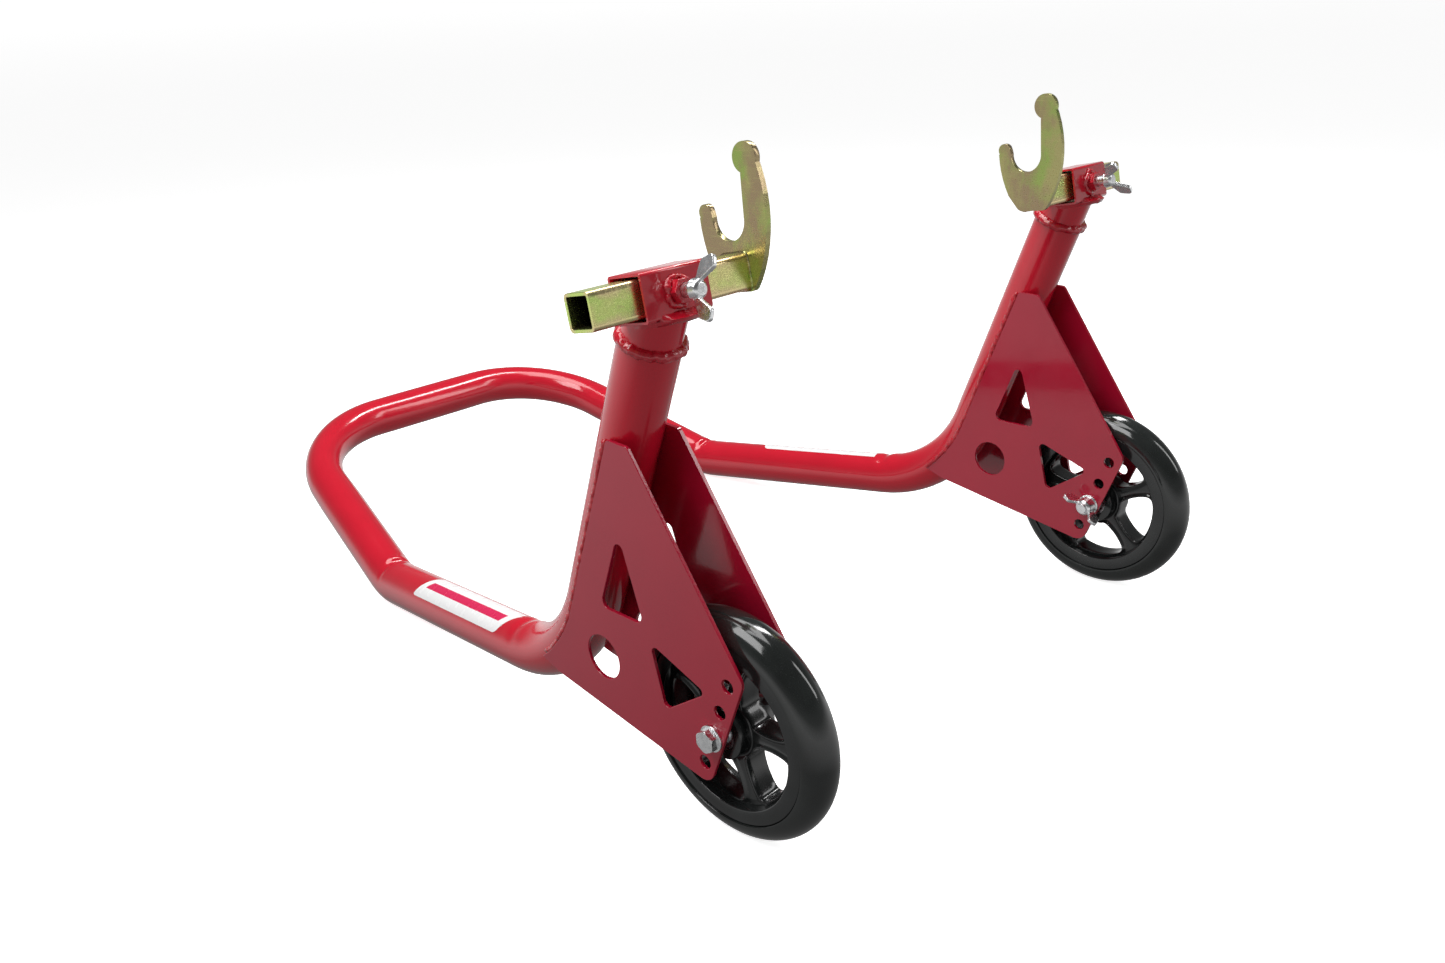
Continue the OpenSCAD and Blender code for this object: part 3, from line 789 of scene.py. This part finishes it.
def wheel_point(side, axial, radius, angle):
    """A point of a wheel: angle from the downward direction, axial outwards."""
    centre = mirrored(WHEEL_CENTRE, side)
    return centre + Vector((SIDES[side] * axial, radius * math.sin(angle), -radius * math.cos(angle)))


def rounded_profile(corners, steps=5):
    """A flat line of (radius, axial) corners, each rounded by its third number."""
    out = []
    for i, (x, y, r) in enumerate(corners):
        p = Vector((x, y))
        if r <= 0 or i in (0, len(corners) - 1):
            out.append(p)
            continue
        a = (Vector(corners[i - 1][:2]) - p).normalized()
        b = (Vector(corners[i + 1][:2]) - p).normalized()
        half = a.angle(b) / 2
        centre = p + (a + b).normalized() * r / math.sin(half)
        start, end = p + a * r / math.tan(half) - centre, p + b * r / math.tan(half) - centre
        sweep = math.pi - 2 * half
        for k in range(steps + 1):
            u = k / steps
            arm = start * math.sin(sweep * (1 - u)) + end * math.sin(sweep * u)
            out.append(centre + arm / math.sin(sweep))
    return out


def build_tyres():
    """Glossy tyres with a rounded crown and a foot in the rim's channel."""
    steps = sizes().wheel_steps
    crown_r, crown_half, round_r = TYRE_RADIUS, (TYRE_HIGH.x - TYRE_LOW.x) / 2, 0.014
    low = 0.0612
    crown = []
    for k in range(33):
        a = -math.pi / 2 + math.pi * k / 32
        crown.append(Vector((crown_r - round_r + round_r * math.cos(a), crown_half * math.sin(a))))
    section = [Vector((0.0562, -0.0093)), Vector((low - 0.0004, -0.0093)), Vector((low - 0.0001, -0.0095)),
               Vector((low, -0.0136)), Vector((low + 0.0002, -crown_half + 0.0001))]
    section += crown[1:-1]
    section += [Vector((p.x, -p.y)) for p in reversed(section[:5])]
    for side in SIDES:
        verts = []
        for i in range(steps):
            turn = 2 * math.pi * i / steps
            verts += [wheel_point(side, p.y, p.x, turn) for p in section]
        tyre = make_piece(f"tyre_body_{side}", verts, ring_faces(steps, len(section), True), "tyre_black")
        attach(tyre, f"wheel_{side}")
        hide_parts(f"tyre_{side}")


SPOKES = 5
SECTOR = math.pi / SPOKES
HUB_EDGE, WEB_EDGE = 0.0190, 0.0500
WEB_HALF = 0.0066


def window_outline():
    """One see-through window of the rim, as points round its middle, from radius and angle."""
    bulge = sizes().spoke_bulge
    inner, outer = 0.0208, 0.0490
    corners = [(inner, -0.31), (outer, -0.475), (outer, 0.475), (inner, 0.31)]
    flat = [Vector((r * math.cos(a), r * math.sin(a))) for r, a in corners]
    line = []
    for i in range(4):
        p, q = flat[i], flat[(i + 1) % 4]
        for k in range(24):
            u = k / 24
            point = p.lerp(q, u)
            normal = Vector((q.y - p.y, -(q.x - p.x))).normalized()
            if i in (0, 2):
                point += normal * bulge * math.sin(math.pi * u)
            if i == 1:
                point = point.normalized() * outer
            if i == 3:
                point = point.normalized() * inner
            line.append(point)
    # round the four corners by sliding a small averaging window along the line
    for _ in range(16):
        line = [(line[i - 1] + line[i] * 2 + line[(i + 1) % len(line)]) / 4 for i in range(len(line))]
    return line


def hit(line, centre, angle):
    """Where a ray from the centre crosses a closed line."""
    way = Vector((math.cos(angle), math.sin(angle)))
    best = None
    for i in range(len(line)):
        a, b = line[i - 1] - centre, line[i] - centre
        d = b - a
        cross = way.x * d.y - way.y * d.x
        if abs(cross) < 1e-15:
            continue
        t = (a.x * d.y - a.y * d.x) / cross
        u = (a.x * way.y - a.y * way.x) / cross
        if t > 0 and -1e-9 <= u <= 1 + 1e-9 and (best is None or t > best):
            best = t
    return centre + way * best


def sector_edge(centre, angle):
    """Where a ray from the window's middle leaves the rim's sector, and on which edge."""
    way = Vector((math.cos(angle), math.sin(angle)))
    found = []
    for radius, kind in ((HUB_EDGE, "hub"), (WEB_EDGE, "rim")):
        b = centre.dot(way)
        c = centre.length_squared - radius * radius
        root = b * b - c
        if root >= 0:
            for t in (-b - math.sqrt(root), -b + math.sqrt(root)):
                if t > 1e-9:
                    found.append((t, kind))
    for sign in (1, -1):
        edge = Vector((math.cos(SECTOR), sign * math.sin(SECTOR)))
        cross = way.x * edge.y - way.y * edge.x
        if abs(cross) > 1e-12:
            t = (centre.x * edge.y - centre.y * edge.x) / -cross
            if t > 1e-9:
                found.append((t, "side"))
    t, kind = min(found)
    return centre + way * t, kind


def rim_mesh(side):
    """Points and faces of a rim: five webs with their windows, a hub and a flanged barrel."""
    outline = window_outline()
    centre = Vector((0.0365, 0))
    corner_angles = []
    for radius in (HUB_EDGE, WEB_EDGE):
        for sign in (1, -1):
            p = Vector((radius * math.cos(SECTOR), sign * radius * math.sin(SECTOR))) - centre
            corner_angles.append(math.atan2(p.y, p.x) % (2 * math.pi))
    count = 88
    angles = sorted(set(2 * math.pi * k / count for k in range(count)) | set(corner_angles))
    angles = [a for k, a in enumerate(angles)
              if a in corner_angles or all(abs(a - c) > 0.02 for c in corner_angles)]
    round_r = 0.0012
    depth_in = (0.0, 0.00012, 0.0004, 0.0008, round_r)
    layers, kinds = [], []
    for a in angles:
        inner = hit(outline, centre, a)
        outer, kind = sector_edge(centre, a)
        reach = (outer - inner).length
        stops = [min(d, 0.8 * reach * d / round_r) for d in depth_in]
        stops += [stops[-1] + (reach - stops[-1]) * u for u in (0.14, 0.28, 0.42, 0.6, 1.0)]
        ring = []
        for k, d in enumerate(stops):
            point = inner.lerp(outer, d / reach)
            share = d / reach
            height = WEB_HALF + 0.0019 * math.exp(-((d / 0.0028) ** 4)) * (1 - share)
            nominal = depth_in[k] if k < len(depth_in) else round_r
            height -= round_r - math.sqrt(max(0.0, round_r ** 2 - (round_r - nominal) ** 2))
            ring.append((point, WEB_HALF if k == len(stops) - 1 else height))
        layers.append(ring)
        kinds.append(kind)
    verts, faces = [], []
    turn0 = math.radians(WHEEL_TURN[side])

    def put(point, axial, turn):
        radius, angle = point.length, math.atan2(point.y, point.x)
        verts.append(wheel_point(side, axial, radius, angle + turn))
        return len(verts) - 1

    hub_turns, rim_turns = set(), set()
    for k in range(SPOKES):
        turn = turn0 + 2 * math.pi * k / SPOKES
        grid = []
        for ring in layers:
            column = [put(p, z, turn) for p, z in ring]
            mirror = [put(p, -z, turn) for p, z in ring]
            edge = ring[0]
            wall = [put(edge[0], edge[1] * u, turn) for u in (0.5, 0.0, -0.5)]
            grid.append(column[::-1] + wall + mirror)
        for i in range(len(grid)):
            a, b = grid[i], grid[(i + 1) % len(grid)]
            faces += [(a[j], a[j + 1], b[j + 1], b[j]) for j in range(len(a) - 1)]
        for ring in layers:
            p = ring[-1][0]
            angle = round(math.atan2(p.y, p.x) + turn, 9)
            radius = p.length
            if abs(radius - HUB_EDGE) < 1e-7:
                hub_turns.add(angle)
            if abs(radius - WEB_EDGE) < 1e-7:
                rim_turns.add(angle)
    hub = rounded_profile([
        (HUB_EDGE, WEB_HALF, 0), (0.0180, WEB_HALF, 0.0009), (0.0170, 0.0146, 0.0), (0.0167, 0.0150, 0),
        (0.0113, 0.0150, 0), (0.0110, 0.0147, 0), (0.0110, -0.0147, 0), (0.0113, -0.0150, 0),
        (0.0167, -0.0150, 0), (0.0170, -0.0146, 0.0), (0.0180, -WEB_HALF, 0.0009), (HUB_EDGE, -WEB_HALF, 0)])
    barrel = rounded_profile([
        (WEB_EDGE, WEB_HALF, 0), (0.0505, 0.0074, 0.0006), (0.0512, 0.0130, 0.0009), (0.0608, 0.0130, 0.0007),
        (0.0610, 0.0098, 0.0002), (0.0560, 0.0095, 0), (0.0560, -0.0095, 0), (0.0610, -0.0098, 0.0002),
        (0.0608, -0.0130, 0.0007), (0.0512, -0.0130, 0.0009), (0.0505, -0.0074, 0.0006),
        (WEB_EDGE, -WEB_HALF, 0)])
    for profile, turns in ((hub, hub_turns), (barrel, rim_turns)):
        wrapped = sorted({round(t % (2 * math.pi), 7) for t in turns})
        kept = [t for i, t in enumerate(wrapped) if i == 0 or t - wrapped[i - 1] > 1e-5]
        base = len(verts)
        for t in kept:
            verts += [wheel_point(side, p.y, p.x, t) for p in profile]
        n = len(profile)
        for i in range(len(kept)):
            a, b = base + i * n, base + (i + 1) % len(kept) * n
            faces += [(a + j, a + j + 1, b + j + 1, b + j) for j in range(n - 1)]
    return verts, faces


def build_rims():
    """Five-spoke moulded rims."""
    for side in SIDES:
        verts, faces = rim_mesh(side)
        rim = make_piece(f"rim_body_{side}", verts, faces, "rim_black", sharp=math.radians(34))
        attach(rim, f"wheel_{side}")
        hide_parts(f"rim_{side}")


# ---------------------------------------------------------------- labels


def build_labels():
    """Plain film labels on the outer upper side of each side tube."""
    length, thick, low, high = 0.154, 0.0002, math.radians(31), math.radians(109)
    radius = sizes().tube_radius + 0.00005
    lean, corner = 0.016, 0.003
    run = (KINK_CORNER - FOOT_CORNER).normalized()
    up = (Vector((0, 0, 1)) - run * run.z).normalized()
    out = run.cross(up)
    start = LINE.at(LINE.bends[0]["to"])[0] + run * 0.002
    rows, columns = 40, 90
    half_width = radius * (high - low) / 2
    for side in SIDES:
        verts, uv = [], []
        for layer in (0, 1):
            for i in range(rows + 1):
                v = i / rows
                height = (v - 0.5) * 2 * half_width
                inset = max(0.0, abs(height) - (half_width - corner))
                trim = corner - math.sqrt(max(0.0, corner ** 2 - inset ** 2))
                first = lean * (1 - v) + trim
                last = length - lean * v - trim
                for j in range(columns + 1):
                    along = first + (last - first) * j / columns
                    turn = low + (high - low) * v
                    arm = out * math.cos(turn) + up * math.sin(turn)
                    point = start + run * along + arm * (radius + layer * thick)
                    verts.append(mirrored(point, side))
                    uv.append((1 - j / columns, v))
        n = columns + 1
        plane = (rows + 1) * n
        faces = []
        for layer in (0, plane):
            for i in range(rows):
                for j in range(columns):
                    a = layer + i * n + j
                    faces.append((a, a + 1, a + n + 1, a + n))
        rim = list(range(n)) + [i * n + columns for i in range(1, rows + 1)]
        rim += [rows * n + j for j in range(columns - 1, -1, -1)] + [i * n for i in range(rows - 1, 0, -1)]
        for i in range(len(rim)):
            a, b = rim[i], rim[(i + 1) % len(rim)]
            faces.append((a, b, b + plane, a + plane))
        label = make_piece(f"label_{side}", verts, faces, "label_film", uv=uv)
        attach(label, "stand")
        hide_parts(f"side_label_{side}")


# ---------------------------------------------------------------- stage


CAMERA_PLACE = Vector((-0.64357, -0.74300, 0.46787))
CAMERA_YAW, CAMERA_PITCH, CAMERA_ROLL = math.radians(44.418), math.radians(21.580), math.radians(-3.115)
CAMERA_LENS = 29.31
SENSOR = 36.0


def build_camera():
    yaw, pitch, roll = CAMERA_YAW, CAMERA_PITCH, CAMERA_ROLL
    ahead = Vector((math.sin(yaw) * math.cos(pitch), math.cos(yaw) * math.cos(pitch), -math.sin(pitch)))
    right = Vector((math.cos(yaw), -math.sin(yaw), 0))
    up = right.cross(ahead)
    x = right * math.cos(roll) + up * math.sin(roll)
    y = -right * math.sin(roll) + up * math.cos(roll)
    data = bpy.data.cameras.new("camera")
    data.lens = CAMERA_LENS
    data.sensor_width = SENSOR
    data.clip_start, data.clip_end = 0.02, 60
    camera = bpy.data.objects.new("camera", data)
    turn = Matrix((x, y, -ahead)).transposed().to_4x4()
    camera.matrix_world = Matrix.Translation(CAMERA_PLACE) @ turn
    bpy.context.scene.collection.objects.link(camera)
    bpy.context.scene.camera = camera


def softbox(name, place, aim, width, height, power):
    data = bpy.data.lights.new(name, "AREA")
    data.shape = "RECTANGLE"
    data.size, data.size_y = width, height
    data.energy = power
    light = bpy.data.objects.new(name, data)
    way = Vector(aim) - Vector(place)
    light.matrix_world = Matrix.Translation(place) @ way.to_track_quat("-Z", "Y").to_matrix().to_4x4()
    bpy.context.scene.collection.objects.link(light)


def build_backdrop():
    """A white floor that sweeps up into a wall far behind the stand."""
    around = 64
    reach = [2.0, 6.0, 10.0, 12.0, 13.4, 14.3, 14.8, 15.0, 15.0]
    rise = [0.0, 0.0, 0.0, 0.1, 0.5, 1.3, 2.6, 4.2, 9.0]
    verts = []
    for r, z in zip(reach, rise):
        for j in range(around):
            turn = 2 * math.pi * j / around
            verts.append((r * math.cos(turn), r * math.sin(turn), z - 0.0002))
    middle = len(verts)
    verts.append((0.0, 0.0, -0.0002))
    faces = [f[::-1] for f in ring_faces(len(reach), around, False)]
    faces += [(middle, j, (j + 1) % around) for j in range(around)]
    mesh = bpy.data.meshes.new("backdrop")
    mesh.from_pydata(verts, [], faces)
    mesh.polygons.foreach_set("use_smooth", [True] * len(mesh.polygons))
    floor = bpy.data.objects.new("backdrop", mesh)
    bpy.context.scene.collection.objects.link(floor)
    f = Finish("backdrop_white")
    f.join(f.mix(f.noise(3, 2), (0.90, 0.90, 0.90), (0.93, 0.93, 0.93)), f.shader.inputs["Base Color"])
    f.set(Roughness=0.9, Specular_IOR_Level=0.1, Emission_Color=(1, 1, 1, 1), Emission_Strength=0.84)
    floor.data.materials.append(f.material)
    # the stand's own shading comes from the graded world, not from the bright floor
    floor.visible_diffuse = False
    floor.visible_glossy = False


WORLD_GRADE = (
    (-1.00, 0.20), (-0.58, 0.26), (-0.36, 0.62), (-0.14, 0.85),
    (-0.01, 0.60), (0.12, 0.26), (0.40, 0.12), (1.00, 0.12),
)


def build_world():
    """Light from all round, graded by height: pale low down, dim above."""
    world = bpy.data.worlds.new("studio")
    bpy.context.scene.world = world
    world.use_nodes = True
    tree = world.node_tree
    tree.nodes.clear()
    output = tree.nodes.new("ShaderNodeOutputWorld")
    light = tree.nodes.new("ShaderNodeBackground")
    place = tree.nodes.new("ShaderNodeTexCoord")
    split = tree.nodes.new("ShaderNodeSeparateXYZ")
    height = tree.nodes.new("ShaderNodeMapRange")
    height.inputs["From Min"].default_value = -1.0
    ramp = tree.nodes.new("ShaderNodeValToRGB")
    stops = ramp.color_ramp.elements
    for z, grey in WORLD_GRADE[1:-1]:
        stops.new((z + 1) / 2).color = (grey, grey, grey, 1)
    stops[0].color = (WORLD_GRADE[0][1],) * 3 + (1,)
    stops[-1].color = (WORLD_GRADE[-1][1],) * 3 + (1,)
    tree.links.new(place.outputs["Generated"], split.inputs["Vector"])
    tree.links.new(split.outputs["Z"], height.inputs["Value"])
    tree.links.new(height.outputs["Result"], ramp.inputs["Fac"])
    tree.links.new(ramp.outputs["Color"], light.inputs["Color"])
    tree.links.new(light.outputs["Background"], output.inputs["Surface"])


def build_stage():
    build_backdrop()
    build_world()
    softbox("top_box", (-0.05, 0.1, 1.45), (0.0, 0.05, 0.1), 0.9, 0.9, 12)
    softbox("strip_near", (0.84, 0.05, 1.7), (0, 0.1, 0.1), 0.26, 0.5, 7)
    softbox("strip_far", (1.30, 0.05, 1.7), (0, 0.1, 0.1), 0.26, 0.5, 7)
    softbox("left_box", (-1.0, 0.0, 1.4), (0.1, -0.2, 0.1), 0.8, 0.8, 12)
    softbox("front_strip", (1.2, -1.5, 1.2), (0.1, -0.2, 0.15), 0.3, 1.2, 5)
    bpy.context.scene.view_settings.view_transform = "Standard"
    build_camera()


# ---------------------------------------------------------------- operators


class STAND_OT_stage(bpy.types.Operator):
    """White floor, soft boxes and camera"""
    bl_idname = "stand.stage"
    bl_label = "Stage"

    def execute(self, context):
        build_stage()
        return {"FINISHED"}


class STAND_OT_tube(bpy.types.Operator):
    """Bent tube with its creases, in gloss red"""
    bl_idname = "stand.tube"
    bl_label = "Bent tube"

    def execute(self, context):
        build_frame_tube()
        for side in SIDES:
            finish_node(f"top_stub_{side}", "frame_red")
        return {"FINISHED"}


class STAND_OT_welds(bpy.types.Operator):
    """Weld beads on the uprights, fork plates, clamps and hooks"""
    bl_idname = "stand.welds"
    bl_label = "Welds"

    def execute(self, context):
        build_ring_welds()
        build_plate_welds()
        build_clamp_welds()
        build_arm_welds()
        return {"FINISHED"}


class STAND_OT_plates(bpy.types.Operator):
    """Fork plates with rounded cut edges"""
    bl_idname = "stand.plates"
    bl_label = "Fork plates"

    def execute(self, context):
        for side in SIDES:
            for where in ("outer", "inner"):
                node = f"fork_plate_{where}_{side}"
                finish_node(node, "plate_red")
                soften(node, sizes().plate_edge)
        return {"FINISHED"}


class STAND_OT_clamps(bpy.types.Operator):
    """Square sleeves and the nuts welded to them"""
    bl_idname = "stand.clamps"
    bl_label = "Clamps"

    def execute(self, context):
        for side in SIDES:
            finish_node(f"clamp_sleeve_{side}", "frame_red")
            soften(f"clamp_sleeve_{side}", 0.0003)
            finish_node(f"clamp_nut_{side}", "weld_red")
            soften(f"clamp_nut_{side}", 0.0008)
        return {"FINISHED"}


class STAND_OT_arms(bpy.types.Operator):
    """Sliding arms and hook plates in yellow zinc"""
    bl_idname = "stand.arms"
    bl_label = "Arms and hooks"

    def execute(self, context):
        for side in SIDES:
            finish_node(f"support_arm_{side}", "passivated_arm")
            soften(f"support_arm_{side}", 0.0003)
            finish_node(f"hook_plate_{side}", "passivated")
            soften(f"hook_plate_{side}", sizes().hook_edge)
        return {"FINISHED"}


class STAND_OT_fasteners(bpy.types.Operator):
    """Clamp screws, axle bolts, wing nuts, washers and spacers in bright zinc"""
    bl_idname = "stand.fasteners"
    bl_label = "Fasteners"

    def execute(self, context):
        for side in SIDES:
            for node in ("clamp_screw", "axle_wing_nut"):
                finish_node(f"{node}_{side}", "zinc")
                cast(f"{node}_{side}", 0.00042, 3)
            for node in ("axle_bolt", "axle_washers", "side_spacers", "hub_spacer"):
                finish_node(f"{node}_{side}", "zinc")
                soften(f"{node}_{side}", 0.00025, 2)
        return {"FINISHED"}


class STAND_OT_tyres(bpy.types.Operator):
    """Glossy black tyres"""
    bl_idname = "stand.tyres"
    bl_label = "Tyres"

    def execute(self, context):
        build_tyres()
        return {"FINISHED"}


class STAND_OT_rims(bpy.types.Operator):
    """Five-spoke black rims"""
    bl_idname = "stand.rims"
    bl_label = "Rims"

    def execute(self, context):
        build_rims()
        return {"FINISHED"}


class STAND_OT_bearings(bpy.types.Operator):
    """Ball bearings in the hubs"""
    bl_idname = "stand.bearings"
    bl_label = "Bearings"

    def execute(self, context):
        for side in SIDES:
            for node in ("bearing_outer_rings", "bearing_inner_rings", "bearing_balls", "bearing_shields"):
                finish_node(f"{node}_{side}", "bearing_steel")
        return {"FINISHED"}


class STAND_OT_labels(bpy.types.Operator):
    """Plain film labels on the side tubes"""
    bl_idname = "stand.labels"
    bl_label = "Labels"

    def execute(self, context):
        build_labels()
        return {"FINISHED"}


OPERATORS = (
    STAND_OT_stage, STAND_OT_tube, STAND_OT_welds, STAND_OT_plates, STAND_OT_clamps, STAND_OT_arms,
    STAND_OT_fasteners, STAND_OT_tyres, STAND_OT_rims, STAND_OT_bearings, STAND_OT_labels,
)


class STAND_PT_panel(bpy.types.Panel):
    """Sidebar list of the stand's pieces"""
    bl_idname = "STAND_PT_panel"
    bl_label = "Paddock stand"
    bl_space_type = "VIEW_3D"
    bl_region_type = "UI"
    bl_category = "Stand"

    def draw(self, context):
        for group in (context.scene.stand_sizes, context.scene.stand_colours):
            for name in group.__annotations__:
                self.layout.prop(group, name)
        for operator in OPERATORS:
            self.layout.operator(operator.bl_idname)


CLASSES = (StandSizes, StandColours, *OPERATORS, STAND_PT_panel)


def register():
    for cls in CLASSES:
        bpy.utils.register_class(cls)
    bpy.types.Scene.stand_sizes = PointerProperty(type=StandSizes)
    bpy.types.Scene.stand_colours = PointerProperty(type=StandColours)


def unregister():
    del bpy.types.Scene.stand_colours
    del bpy.types.Scene.stand_sizes
    for cls in reversed(CLASSES):
        bpy.utils.unregister_class(cls)


def main():
    register()
    for operator in OPERATORS:
        group, name = operator.bl_idname.split(".")
        getattr(getattr(bpy.ops, group), name)()
    bpy.context.view_layer.update()


if __name__ == "__main__":
    main()
